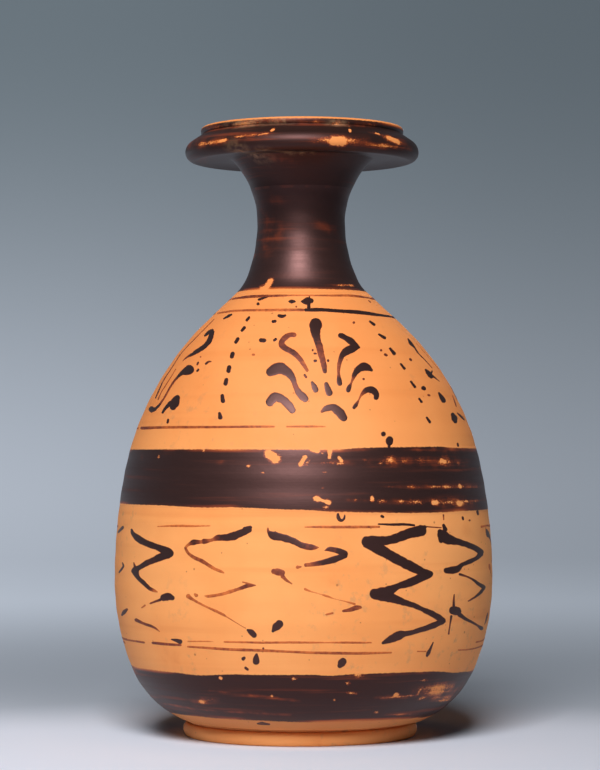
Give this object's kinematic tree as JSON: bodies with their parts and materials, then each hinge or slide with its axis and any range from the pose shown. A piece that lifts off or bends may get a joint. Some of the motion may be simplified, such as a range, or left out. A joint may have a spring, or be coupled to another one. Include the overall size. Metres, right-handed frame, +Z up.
{
  "type": "ceramic oil flask",
  "caption": "Pear-shaped clay oil flask with a narrow waisted neck, a flat disc mouth with a dished top and a low ring foot, painted with dark bands and brushed ornament.",
  "frame": {"origin": "on the vessel's axis, in the plane that the foot stands on", "axes": "+Z up along the vessel's axis, towards the mouth; +X to the right and -Y towards the viewer of the painted front"},
  "size_m": [0.087, 0.087, 0.14],
  "materials": {
    "clay": "matte",
    "slip": "matte",
    "gloss": "satin"
  },
  "bodies": {
    "root": {"foot_ring": "clay", "foot_slip": "slip", "body": "clay", "neck_slip": "slip", "neck": "gloss", "mouth_slip": "slip", "mouth": "gloss"}
  },
  "joints": []
}
